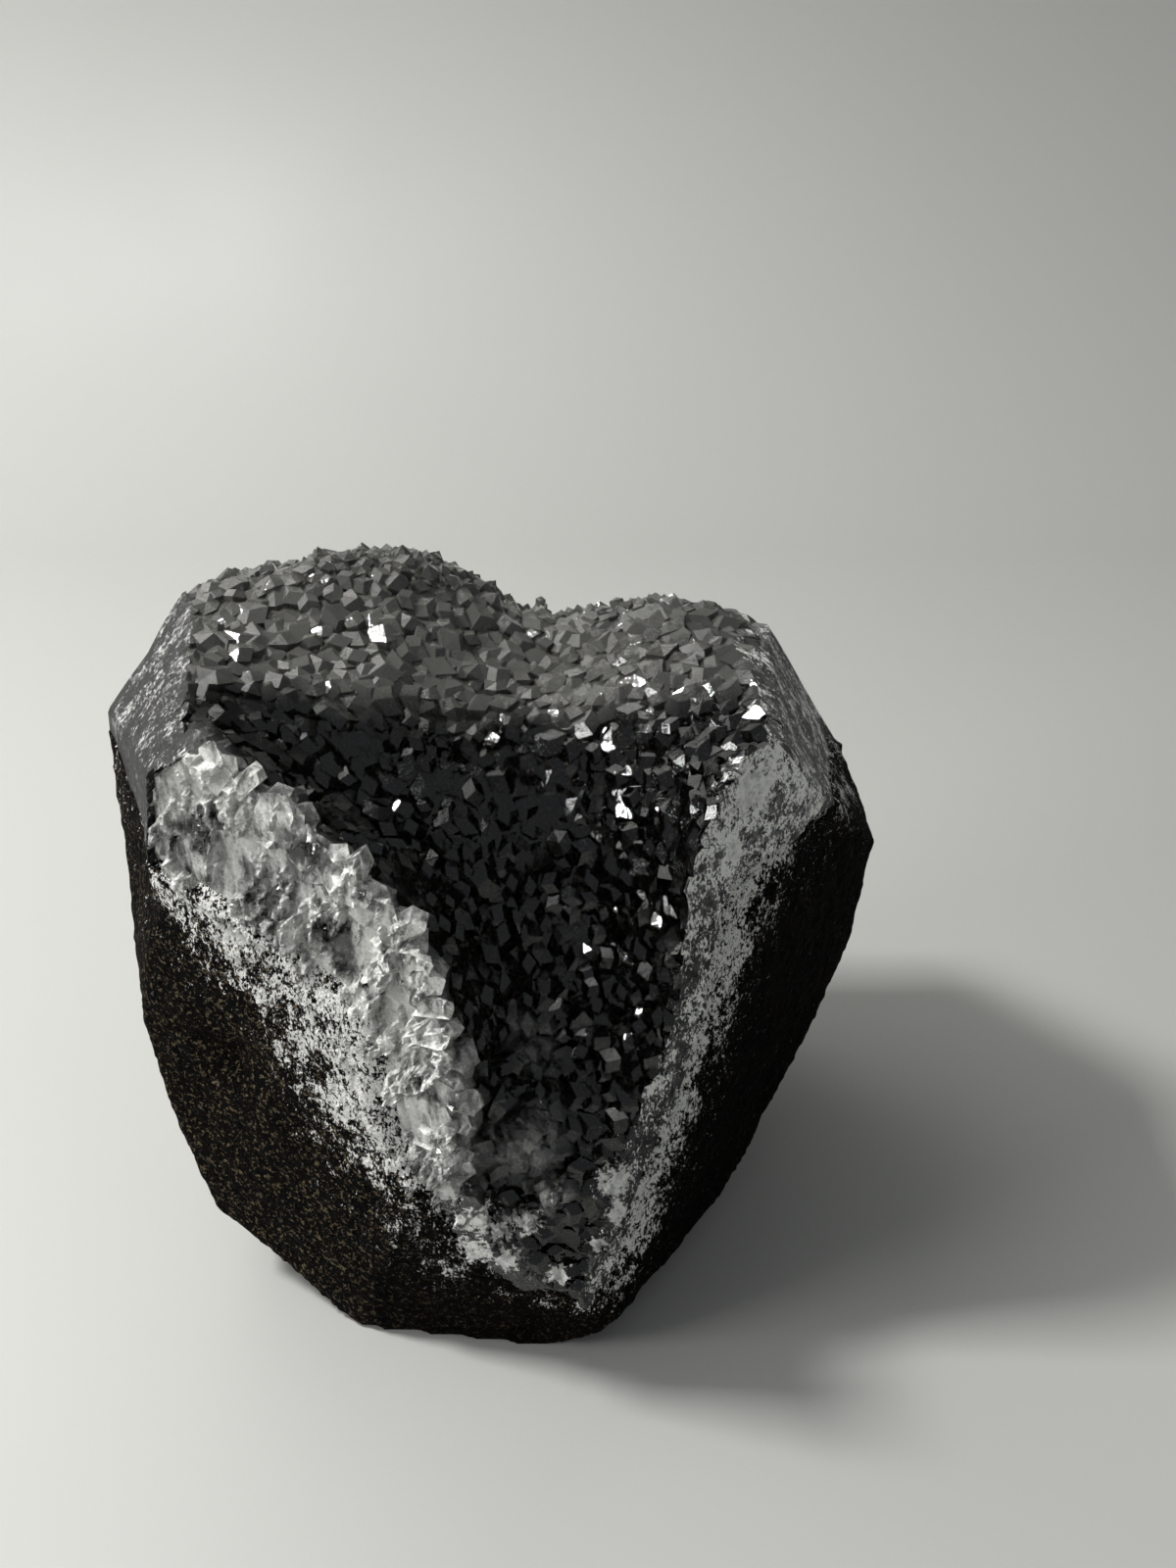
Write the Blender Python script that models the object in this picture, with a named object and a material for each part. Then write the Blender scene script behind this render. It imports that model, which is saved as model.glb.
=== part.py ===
"""Rough chalcedony: a palm-sized block of dark volcanic stone, ground to flats all round.
Its open side, towards the front and the top, is lined with a crust of small quartz points.

Metres, +Z up. The origin is on the surface that the block rests on, the front faces -Y.
Two objects: the stone, and the crust that has grown on it.
"""
import itertools
import math
import random

import bmesh
import bpy
import numpy as np
from mathutils import Vector, geometry, noise

MM = 0.001

# Ground flats of the block: a point on each flat in millimetres, and its outward direction
FLATS = {
    "rest": ((0.0, 0.0, 0.0), (0.0, 0.0, -1.0)),
    "left front": ((-15.4, -18.0, 0.8), (-0.46, -0.89, -0.02)),
    "left": ((-42.0, 9.0, 58.0), (-0.90, -0.41, 0.12)),
    "left top": ((-33.9, 18.0, 74.3), (-0.71, -0.23, 0.67)),
    "front foot": ((-15.4, -18.0, 0.8), (-0.13, -0.98, -0.14)),
    "right front": ((18.9, -14.0, 51.3), (0.60, -0.80, 0.04)),
    "right": ((32.3, -3.5, 62.0), (0.80, -0.59, -0.09)),
    "right top": ((32.3, -3.5, 62.0), (0.87, -0.05, 0.50)),
    "right shoulder": ((27.5, 8.0, 69.8), (0.62, -0.05, 0.78)),
    "left underside": ((-36.9, -7.5, 27.1), (-0.99, -0.01, -0.15)),
    "left heel": ((-34.2, -8.6, 14.9), (-0.96, -0.08, -0.27)),
    "left foot": ((-24.4, -13.4, 4.8), (-0.55, -0.19, -0.82)),
    "right foot": ((16.2, -18.6, 5.8), (0.49, -0.32, -0.81)),
    "right underside": ((36.7, 8.7, 21.7), (0.87, 0.05, -0.49)),
    "right heel": ((26.8, -2.6, 7.1), (0.76, -0.04, -0.65)),
    "right back": ((42.3, 13.8, 37.9), (0.97, 0.23, -0.11)),
    "right back top": ((35.4, 23.9, 59.3), (0.64, 0.58, 0.50)),
    "left back": ((-37.9, 14.9, 69.0), (-0.82, 0.45, 0.34)),
    "left back low": ((-30.0, 32.0, 40.0), (-0.60, 0.79, -0.12)),
    "back right": ((30.0, 38.0, 50.0), (0.55, 0.83, 0.05)),
    "back": ((0.0, 43.0, 46.0), (-0.05, 1.0, -0.12)),
    "back foot": ((0.0, 41.0, 18.0), (0.05, 0.72, -0.69)),
}
BLOCK_SIZE = 140.0
BLOCK_TOP = 84.0
EDGE_ROUND = 1.4
STONE_FACET = 6.4
STONE_RELIEF = 0.35
BROAD_RELIEF_SIZE = 7.0
FINE_RELIEF_SIZE = 3.0
FINE_RELIEF_SHARE = 0.6
REST_BAND = 1.5
FLAT_ANGLE = math.radians(2)
DIVIDE_ROUNDS = 6

# Hollows worn or broken into the flats: centre, radius and depth in millimetres
HOLLOWS = (
    ((-38.0, -5.0, 53.0), 9.0, 1.6),
    ((-36.0, -8.5, 50.5), 3.5, 1.2),
    ((-27.5, -12.0, 34.0), 6.0, 1.5),
    ((-9.5, -21.5, 3.5), 4.0, 1.6),
    ((4.0, -21.0, 2.5), 4.5, 1.2),
    ((38.5, 20.5, 54.0), 5.0, 1.2),
    ((30.0, 2.0, 14.0), 7.0, 0.9),
    ((10.0, 43.0, 40.0), 9.0, 1.4),
    ((-18.0, 40.0, 28.0), 8.0, 1.5),
)

# Points in millimetres that the crystal face passes through
FACE_POINTS = (
    # crest on the left front flat, from the top down
    (-27.1, -12.4, 70.6), (-23.2, -15.6, 71.4), (-18.4, -17.9, 66.7), (-12.8, -20.8, 65.2),
    (-9.8, -22.3, 62.2), (-6.9, -23.7, 57.9), (-4.4, -24.9, 53.3), (-3.2, -25.3, 47.2),
    (-2.9, -25.4, 41.4), (-4.8, -24.2, 33.6),
    # foot of the valley
    (-3.0, -23.2, 26.1), (0.7, -22.8, 19.2), (7.2, -23.1, 15.3), (11.0, -21.6, 18.0),
    # rim on the right front flat, from the foot up
    (11.8, -20.6, 25.6), (14.8, -18.0, 32.4), (17.7, -15.5, 39.2), (18.5, -14.5, 45.8),
    (18.9, -14.0, 51.4), (19.2, -13.5, 56.7), (20.9, -11.9, 63.2), (24.8, -8.8, 67.0),
    # rims on the left top flat and the right shoulder
    (-34.0, 18.1, 74.3), (-29.9, 5.1, 73.6), (-28.7, -1.8, 72.6), (27.6, -2.0, 69.6),
    (27.3, 6.0, 70.2), (25.2, 15.0, 70.8),
    # inner side of the crest
    (-21.7, -9.0, 67.6), (-17.5, -12.0, 62.8), (-12.3, -14.0, 60.3), (-8.7, -15.5, 56.9),
    (-5.6, -17.0, 52.9), (-3.0, -17.5, 47.5), (-1.8, -19.5, 41.9), (-1.5, -21.0, 36.9),
    # upper shelf, left lobe to right lobe
    (-24.1, 0.0, 70.2), (-20.0, 3.0, 69.6), (-10.6, 6.0, 67.7), (-4.7, 7.0, 63.7), (1.5, 6.0, 63.1),
    (9.8, 5.0, 64.7), (15.8, 4.0, 67.4), (21.8, 4.0, 69.2), (-25.8, 13.0, 72.2), (-16.7, 16.0, 72.8),
    (-9.7, 20.0, 73.5), (-3.3, 19.0, 69.2), (-0.8, 12.0, 66.0), (4.4, 16.0, 65.0), (9.8, 12.0, 66.0),
    (14.2, 19.0, 68.1), (20.4, 15.0, 69.8),
    # skyline
    (-28.9, 20.0, 75.4), (-23.1, 24.0, 75.3), (-17.9, 26.0, 76.0), (-10.2, 27.0, 76.0),
    (-4.9, 28.0, 73.4), (-0.6, 30.0, 69.0), (3.3, 33.0, 65.0), (8.6, 32.0, 66.4), (14.4, 30.0, 68.0),
    (18.9, 27.0, 70.0), (23.1, 23.0, 70.6),
    # slope behind the skyline
    (-30.0, 32.0, 69.0), (-18.0, 39.0, 69.5), (-8.0, 41.0, 67.5), (3.0, 44.0, 57.5), (14.0, 41.0, 61.5),
    (24.0, 34.0, 63.5),
    # valley
    (6.7, 2.0, 58.8), (7.2, 0.0, 54.0), (7.7, -3.5, 47.7), (7.7, -7.5, 40.5), (6.7, -10.5, 35.1),
    (5.7, -14.5, 31.9), (6.3, -17.5, 28.0), (6.8, -20.5, 22.7),
    # left wall of the valley
    (-16.0, 0.0, 65.6), (-10.3, 1.0, 62.8), (-6.3, -0.5, 60.2), (-2.4, 1.0, 59.4), (1.7, -2.0, 54.1),
    (1.7, -5.5, 47.9), (-14.4, -7.0, 60.5), (-7.6, -9.0, 56.1), (-2.9, -11.0, 50.4), (0.4, -12.5, 43.1),
    (1.3, -15.5, 36.7),
    # right wall of the valley
    (21.6, 0.0, 66.7), (14.8, 1.5, 63.7), (19.6, -3.5, 61.9), (14.8, -4.0, 55.3), (16.7, -8.0, 50.8),
    (13.8, -9.0, 44.2), (15.8, -12.5, 41.8), (11.8, -12.5, 36.8), (13.8, -15.5, 34.1), (9.8, -17.5, 29.3),
)
FACE_SOFTNESS = 8.0

# Points in millimetres where the underside of the crust comes out on the flats
UNDERSIDE_POINTS = (
    # left front flat, from the left corner to the foot
    (-34.0, -9.6, 55.3), (-28.3, -12.5, 54.7), (-23.9, -14.7, 51.6), (-19.7, -16.8, 47.5),
    (-16.3, -18.4, 40.4), (-12.7, -20.1, 33.0), (-10.0, -21.4, 27.7), (-6.4, -23.2, 26.5),
    # foot
    (-4.8, -22.2, 20.3), (-0.6, -21.7, 12.6), (5.6, -22.2, 10.6), (9.3, -23.3, 14.3),
    # right front flat, from the foot up
    (12.1, -21.0, 14.0), (15.0, -18.5, 20.0), (18.0, -15.9, 27.8), (20.4, -13.7, 35.2),
    (21.9, -12.1, 44.0), (23.2, -10.7, 51.4), (25.9, -8.6, 55.2), (30.5, -5.1, 55.7),
    # right top flat, left flats
    (36.6, 12.4, 56.1), (39.0, 22.0, 52.0), (-39.5, 2.4, 61.0), (-40.5, 12.0, 61.0),
    # back
    (-32.0, 30.0, 61.0), (-18.0, 41.0, 61.0), (0.0, 44.5, 53.0), (16.0, 42.0, 54.0), (30.0, 34.0, 55.0),
)
INNER_POINTS = (
    (-16.0, 0.0, 65.6), (-10.3, 1.0, 62.8), (-2.4, 1.0, 59.4), (1.7, -5.5, 47.9), (0.4, -12.5, 43.1),
    (7.2, 0.0, 54.0), (7.7, -7.5, 40.5), (5.7, -14.5, 31.9), (14.8, 1.5, 63.7), (14.8, -4.0, 55.3),
    (13.8, -9.0, 44.2), (11.8, -12.5, 36.8), (-16.7, 16.0, 72.8), (-9.7, 20.0, 73.5),
    (-0.8, 12.0, 66.0), (4.4, 16.0, 65.0), (14.2, 19.0, 68.1), (20.4, 15.0, 69.8),
    (3.3, 30.0, 65.4), (-8.0, 30.0, 74.0), (16.0, 30.0, 68.6),
)

# Ledges across the valley and the round lumps of the crust: centre, half sizes and height
LEDGES = (
    ((7.0, -1.0, 51.0), (11.0, 1.6), 1.0),
    ((6.5, -8.5, 38.5), (9.0, 1.8), 1.3),
    ((-5.0, 4.0, 62.0), (12.0, 1.8), 0.9),
)
LUMPS = (
    ((3.0, -17.0, 30.0), (3.6, 3.6), 2.0),
    ((6.2, -20.0, 22.5), (2.0, 2.0), 1.2),
    ((-20.0, 20.0, 74.0), (6.0, 6.0), 0.8),
    ((-8.0, 14.0, 71.0), (5.0, 4.0), 0.9),
    ((17.0, 20.0, 69.0), (5.0, 5.0), 0.8),
    ((-13.0, 6.0, 68.0), (4.0, 3.0), 0.8),
)

# The crust: its thickness along OPEN, the joint under it, and its crystals
CRUST_THICKNESS = 5.6
CRUST_THINNEST = 3.2
CRUST_SOFTNESS = 20.0
CRUST_GAP = 0.3
CRYSTAL_PITCH = 2.95
CRYSTAL_RISE = 1.15
CRYSTAL_LEAN = 0.3
SEAM_DROP = 0.3
SLOPE_STEP = 0.8
CREST_PITCH = 2.7
UNDERSIDE_PITCH = 5.0
FACE_MARGIN = 6.0
FACE_ACROSS = (-56.0, 56.0)
FACE_ALONG = (-26.0, 102.0)
FACE_OUTER_PITCH = 16.0
SPACE_ABOVE = 120.0
TRIES = 60000
SEED = 11

# Looks: colour, roughness, how much light passes, refractive index
BASALT = ((0.030, 0.026, 0.022), 0.75, 0.0, 1.5)
QUARTZ = ((0.36, 0.37, 0.37), 0.12, 0.7, 1.544)

# The open side looks up and forward at 45 degrees; heights on the face are measured this way
OPEN = Vector((0.0, -1.0, 1.0)).normalized()
ALONG = Vector((0.0, 1.0, 1.0)).normalized()


def clear_scene():
    """Remove every object, mesh and material."""
    for thing in list(bpy.data.objects):
        bpy.data.objects.remove(thing, do_unlink=True)
    for mesh in list(bpy.data.meshes):
        bpy.data.meshes.remove(mesh)
    for material in list(bpy.data.materials):
        bpy.data.materials.remove(material)


def on_face(point):
    """A point in millimetres as (across, along, out) of the open side."""
    p = Vector(point)
    return p.x, p.dot(ALONG), p.dot(OPEN)


def from_face(across, along, out):
    """The point in millimetres at (across, along, out) of the open side."""
    return Vector((across, 0.0, 0.0)) + ALONG * along + OPEN * out


def spline_kernel(distance):
    """Thin-plate kernel."""
    safe = np.maximum(distance, 1e-9)
    return safe * safe * np.log(safe)


def fit_surface(known, softness):
    """Thin-plate surface through (across, along, value) rows; returns a function of two arrays."""
    known = np.array(known)
    places, values = known[:, :2], known[:, 2]
    count = len(known)
    system = np.zeros((count + 3, count + 3))
    system[:count, :count] = spline_kernel(np.linalg.norm(places[:, None] - places[None], axis=2))
    system[:count, :count] += np.eye(count) * softness
    system[:count, count:] = np.c_[np.ones(count), places]
    system[count:, :count] = system[:count, count:].T
    weights = np.linalg.solve(system, np.r_[values, np.zeros(3)])

    def surface(across, along):
        here = np.stack([np.asarray(across, float), np.asarray(along, float)], axis=-1)
        far = np.linalg.norm(here[..., None, :] - places, axis=-1)
        return spline_kernel(far) @ weights[:count] + weights[count] + here @ weights[count + 1:]

    return surface


def fit_face():
    """Height of the crystal face over the open side, with its ledges and lumps."""
    smooth = fit_surface([on_face(point) for point in FACE_POINTS], FACE_SOFTNESS)

    def height(across, along):
        out = smooth(across, along)
        for centre, (wide, tall), rise in LEDGES + LUMPS:
            x, t, _ = on_face(centre)
            out = out + rise * np.exp(-((across - x) / wide) ** 2 - ((along - t) / tall) ** 2)
        return out

    return height


def fit_thickness(height):
    """Thickness of the crust, from where its underside comes out on the flats."""
    known = []
    for point in UNDERSIDE_POINTS:
        x, t, out = on_face(point)
        known.append((x, t, float(height(x, t)) - out))
    known += [(*on_face(point)[:2], CRUST_THICKNESS) for point in INNER_POINTS]
    smooth = fit_surface(known, CRUST_SOFTNESS)
    return lambda across, along: np.maximum(smooth(across, along), CRUST_THINNEST)


def outside_by(point):
    """How far a point in millimetres lies outside the flats."""
    return max((point - Vector(p)).dot(Vector(n).normalized()) for p, n in FLATS.values())


def link_mesh(name, bm):
    """Turn millimetres into metres and make an object of the bmesh."""
    bmesh.ops.scale(bm, vec=(MM, MM, MM), verts=bm.verts)
    mesh = bpy.data.meshes.new(name)
    bm.to_mesh(mesh)
    bm.free()
    thing = bpy.data.objects.new(name, mesh)
    bpy.context.scene.collection.objects.link(thing)
    return thing


def split_long_edges(bm, longest):
    """Divide the triangles until no edge is longer than the limit."""
    for _ in range(DIVIDE_ROUNDS):
        bmesh.ops.triangulate(bm, faces=bm.faces, quad_method="BEAUTY", ngon_method="BEAUTY")
        long_edges = [edge for edge in bm.edges if edge.calc_length() > longest]
        if not long_edges:
            break
        bmesh.ops.subdivide_edges(bm, edges=long_edges, cuts=1)
    bmesh.ops.triangulate(bm, faces=bm.faces)


def hollow_depth(point):
    """Depth in millimetres that the hollows take away at a point."""
    depth = 0.0
    for centre, radius, deepest in HOLLOWS:
        share = (point - Vector(centre)).length / radius
        if share < 1.0:
            depth += deepest * (1.0 - share * share) ** 2
    return depth


def ground_block(name):
    """The whole block: a cube cut by the flats, its edges worn round, its faces a little uneven."""
    bm = bmesh.new()
    bmesh.ops.create_cube(bm, size=BLOCK_SIZE)
    bmesh.ops.translate(bm, vec=(0.0, 0.0, BLOCK_TOP - BLOCK_SIZE / 2), verts=bm.verts)
    for point, normal in FLATS.values():
        geom = bm.verts[:] + bm.edges[:] + bm.faces[:]
        bmesh.ops.bisect_plane(bm, geom=geom, plane_co=point, plane_no=normal, clear_outer=True)
        bmesh.ops.holes_fill(bm, edges=[edge for edge in bm.edges if edge.is_boundary])
    bmesh.ops.dissolve_limit(bm, angle_limit=FLAT_ANGLE, verts=bm.verts, edges=bm.edges)
    worn = [edge for edge in bm.edges if min(vert.co.z for vert in edge.verts) > REST_BAND]
    bmesh.ops.bevel(bm, geom=worn, offset=EDGE_ROUND, segments=1, affect="EDGES", clamp_overlap=True)
    split_long_edges(bm, STONE_FACET)
    bm.normal_update()
    for vert in bm.verts:
        if vert.co.z < REST_BAND:
            continue
        broad = noise.noise(vert.co / BROAD_RELIEF_SIZE)
        fine = noise.noise(vert.co / FINE_RELIEF_SIZE)
        rough = broad + FINE_RELIEF_SHARE * fine
        vert.co += vert.normal * (STONE_RELIEF * rough - hollow_depth(vert.co))
    bmesh.ops.recalc_face_normals(bm, faces=bm.faces)
    return link_mesh(name, bm)


def pitch_at(point):
    """Distance between neighbouring crystals: smaller along the crest on the left."""
    return CREST_PITCH if point.x < 0.0 and outside_by(point) > -CRYSTAL_PITCH else CRYSTAL_PITCH


def scattered_places(height, rng):
    """Places on the crystal face, no two nearer than their pitch, as (across, along) pairs."""
    tries = np.array([(rng.uniform(*FACE_ACROSS), rng.uniform(*FACE_ALONG)) for _ in range(TRIES)])
    kept = []
    cells = {}
    for (x, t), out in zip(tries, height(tries[:, 0], tries[:, 1])):
        p = from_face(x, t, out)
        if outside_by(p) > FACE_MARGIN:
            continue
        cell = tuple(int(value // CRYSTAL_PITCH) for value in p)
        around = itertools.product(*(range(index - 1, index + 2) for index in cell))
        near = (q for key in around for q in cells.get(key, ()))
        if any((p - q).length < pitch_at(p) for q in near):
            continue
        cells.setdefault(cell, []).append(p)
        kept.append((x, t))
    for x in np.arange(FACE_ACROSS[0], FACE_ACROSS[1] + 1.0, FACE_OUTER_PITCH):
        kept += [(x, FACE_ALONG[0]), (x, FACE_ALONG[1])]
    for t in np.arange(FACE_ALONG[0], FACE_ALONG[1] + 1.0, FACE_OUTER_PITCH)[1:-1]:
        kept += [(FACE_ACROSS[0], t), (FACE_ACROSS[1], t)]
    return kept


def face_triangles(places):
    """Delaunay triangles over (across, along) places."""
    flat = [Vector(place) for place in places]
    _, _, faces, *_ = geometry.delaunay_2d_cdt(flat, [], [], 0, 1e-6)
    return [tuple(face) for face in faces]


def surface_normal(height, x, t):
    """Outward unit normal of the crystal face."""
    step = SLOPE_STEP
    slope_x = (height(x + step, t) - height(x - step, t)) / (2 * step)
    slope_t = (height(x, t + step) - height(x, t - step)) / (2 * step)
    return (OPEN - Vector((1, 0, 0)) * float(slope_x) - ALONG * float(slope_t)).normalized()


def close_upwards(bm):
    """Close an open sheet with walls and a lid far out along OPEN."""
    rim = [edge for edge in bm.edges if edge.is_boundary]
    made = bmesh.ops.extrude_edge_only(bm, edges=rim)["geom"]
    lifted = [item for item in made if isinstance(item, bmesh.types.BMVert)]
    for vert in lifted:
        x, t, _ = on_face(vert.co)
        vert.co = from_face(x, t, SPACE_ABOVE)
    lid = [item for item in made if isinstance(item, bmesh.types.BMEdge) and item.is_boundary]
    bmesh.ops.contextual_create(bm, geom=lid)
    bmesh.ops.triangulate(bm, faces=bm.faces)
    bmesh.ops.recalc_face_normals(bm, faces=bm.faces)


def space_over_points(height):
    """The space above the quartz points: each point is a low pyramid with flat faces."""
    rng = random.Random(SEED)
    places = scattered_places(height, rng)
    triangles = face_triangles(places)
    bm = bmesh.new()
    tips = []
    for x, t in places:
        normal = surface_normal(height, x, t)
        lean = Vector((rng.uniform(-1, 1), rng.uniform(-1, 1), rng.uniform(-1, 1))) * CRYSTAL_LEAN
        rise = CRYSTAL_RISE * rng.uniform(0.75, 1.25)
        base = from_face(x, t, float(height(x, t)))
        tips.append(bm.verts.new(base + (normal + lean) * rise))
    seams = []
    for a, b, c in triangles:
        x = (places[a][0] + places[b][0] + places[c][0]) / 3
        t = (places[a][1] + places[b][1] + places[c][1]) / 3
        base = from_face(x, t, float(height(x, t)))
        seams.append(bm.verts.new(base - surface_normal(height, x, t) * SEAM_DROP))
    beside = {}
    for index, (a, b, c) in enumerate(triangles):
        for pair in ((a, b), (b, c), (c, a)):
            beside.setdefault(tuple(sorted(pair)), []).append(index)
    for (a, b), sides in beside.items():
        if len(sides) == 2:
            bm.faces.new((tips[a], seams[sides[0]], seams[sides[1]]))
            bm.faces.new((tips[b], seams[sides[1]], seams[sides[0]]))
        else:
            bm.faces.new((tips[a], tips[b], seams[sides[0]]))
    close_upwards(bm)
    print("quartz points:", len(places))
    return link_mesh("space_over_points", bm)


def space_over_underside(name, height, thickness, lower_by):
    """The space above the underside of the crust, which is smooth."""
    bm = bmesh.new()
    across = np.arange(FACE_ACROSS[0], FACE_ACROSS[1] + 1.0, UNDERSIDE_PITCH)
    along = np.arange(FACE_ALONG[0], FACE_ALONG[1] + 1.0, UNDERSIDE_PITCH)
    grid = []
    for t in along:
        row = []
        for x in across:
            out = float(height(x, t)) - float(thickness(x, t)) - lower_by
            row.append(bm.verts.new(from_face(x, t, out)))
        grid.append(row)
    for low, high in zip(grid, grid[1:]):
        for i in range(len(across) - 1):
            bm.faces.new((low[i], low[i + 1], high[i + 1], high[i]))
    bmesh.ops.triangulate(bm, faces=bm.faces)
    close_upwards(bm)
    return link_mesh(name, bm)


def boolean(thing, cutter, operation):
    """Cut or keep by another object, which is not part of the model."""
    modifier = thing.modifiers.new(cutter.name, "BOOLEAN")
    modifier.operation = operation
    modifier.object = cutter
    cutter.hide_render = True
    cutter.display_type = "WIRE"


def finish(thing, colour, roughness, transmission, ior):
    """One plain material for the object."""
    material = bpy.data.materials.new(thing.name)
    material.use_nodes = True
    shader = material.node_tree.nodes["Principled BSDF"]
    shader.inputs["Base Color"].default_value = (*colour, 1.0)
    shader.inputs["Roughness"].default_value = roughness
    shader.inputs["Metallic"].default_value = 0.0
    shader.inputs["Transmission Weight"].default_value = transmission
    shader.inputs["IOR"].default_value = ior
    material.diffuse_color = (*colour, 1.0)
    thing.data.materials.append(material)


def main():
    clear_scene()
    height = fit_face()
    thickness = fit_thickness(height)
    over_points = space_over_points(height)
    over_underside = space_over_underside("space_over_underside", height, thickness, 0.0)
    over_seat = space_over_underside("space_over_seat", height, thickness, CRUST_GAP)

    stone = ground_block("basalt_matrix")
    boolean(stone, over_seat, "DIFFERENCE")
    finish(stone, *BASALT)

    crust = ground_block("quartz_crust")
    boolean(crust, over_points, "DIFFERENCE")
    boolean(crust, over_underside, "INTERSECT")
    finish(crust, *QUARTZ)


main()
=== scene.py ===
import itertools
import math
import random

import bmesh
import bpy
import numpy as np
from bpy.props import FloatProperty, FloatVectorProperty, PointerProperty
from mathutils import Matrix, Vector, kdtree, noise
from mathutils.bvhtree import BVHTree


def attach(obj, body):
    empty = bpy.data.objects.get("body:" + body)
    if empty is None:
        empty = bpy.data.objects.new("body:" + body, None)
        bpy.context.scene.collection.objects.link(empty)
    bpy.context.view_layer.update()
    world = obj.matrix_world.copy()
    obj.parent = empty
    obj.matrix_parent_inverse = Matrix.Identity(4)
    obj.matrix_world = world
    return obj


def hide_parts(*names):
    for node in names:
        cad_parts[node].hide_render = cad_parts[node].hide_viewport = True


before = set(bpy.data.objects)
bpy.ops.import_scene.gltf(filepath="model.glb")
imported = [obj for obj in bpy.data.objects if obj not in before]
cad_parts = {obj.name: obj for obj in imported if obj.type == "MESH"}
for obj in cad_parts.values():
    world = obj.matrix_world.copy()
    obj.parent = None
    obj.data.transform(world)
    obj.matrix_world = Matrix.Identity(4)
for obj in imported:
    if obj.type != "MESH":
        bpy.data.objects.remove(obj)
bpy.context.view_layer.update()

bl_info = {
    "name": "Rough chalcedony",
    "version": (1, 0, 0),
    "blender": (4, 5, 0),
    "location": "3D View > Sidebar > Chalcedony",
    "description": "A ground block of dark volcanic stone lined with a crust of quartz points",
    "category": "Object",
}

MM = 0.001
STONE_NODE = "basalt_matrix"
CRUST_NODE = "quartz_crust"
BROKEN_FLAT = "left front"

# The part of the open side that is sampled and grown over, across it and along it
GROWN_ACROSS = (-46 * MM, 46 * MM)
GROWN_ALONG = (-12 * MM, 86 * MM)

# Growth of the crust: the seed, the tries, and how far a point may stand outside the flats
SEED = 5
POINT_TRIES = 30000
OVERHANG = 1.2 * MM
SHELF_FROM = (50.0 * MM, 53.0 * MM)
SKYLINE_FROM = (64.0 * MM, 70.0 * MM)

# The crest along the broken flank: its bigger crystals, and the strip that they have to themselves
CREST_PITCH = 2.0 * MM
CREST_TRIES = 16000
CREST_DEPTH = 2.6 * MM
CREST_STRIP = 1.9 * MM
CREST_FOOT = 30.0 * MM

# How deep the frame's crust is cut away under the points, and the fewest faces of a bit that stays
TOP_CUT = 0.9 * MM
CRUMB_FACES = 400

# Longest edges of the ground flanks and of the broken flank, and how a face is known to lie on a flat
FLANK_EDGE = 1.0 * MM
BROKEN_EDGE = 0.4 * MM
FLAT_TURN = 0.9
FLAT_GAP = 0.9 * MM

# Deepest and proudest place of the broken flank, in millimetres
DEEPEST, PROUDEST = -1.0, 0.7

# White patches of the crust: centre and radius in millimetres
MILKY_SPOTS = (
    ((-4.5, -23.1, 26.0), 2.6), ((-1.8, -22.8, 22.3), 3.2), ((3.4, -21.6, 20.3), 2.4),
    ((0.6, -22.3, 20.0), 2.2), ((-2.0, -22.5, 17.5), 3.2), ((1.5, -22.6, 16.0), 2.2),
    ((12.6, -20.0, 24.4), 2.8), ((13.0, -20.8, 20.2), 2.2), ((11.0, -21.5, 16.5), 1.6),
    ((6.5, -22.6, 13.6), 1.8), ((25.5, -8.0, 64.0), 4.0), ((24.0, -9.5, 58.0), 2.0),
)

# Half clear lumps of the crust on the rosettes, made milky partly as real clouding and partly as painted
# highlight where the lamps leave them dark: centre, radius and strength
CLOUDED_AND_HIGHLIGHT_SPOTS = (
    ((3.0, -19.0, 29.0), 5.0, 0.4), ((6.0, -21.3, 23.4), 2.4, 0.6), ((4.0, -13.0, 37.0), 4.0, 0.15),
)

# The open side looks up and forward at 45 degrees; heights on it are measured along OPEN
OPEN = Vector((0.0, -1.0, 1.0)).normalized()
ALONG = Vector((0.0, 1.0, 1.0)).normalized()

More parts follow.
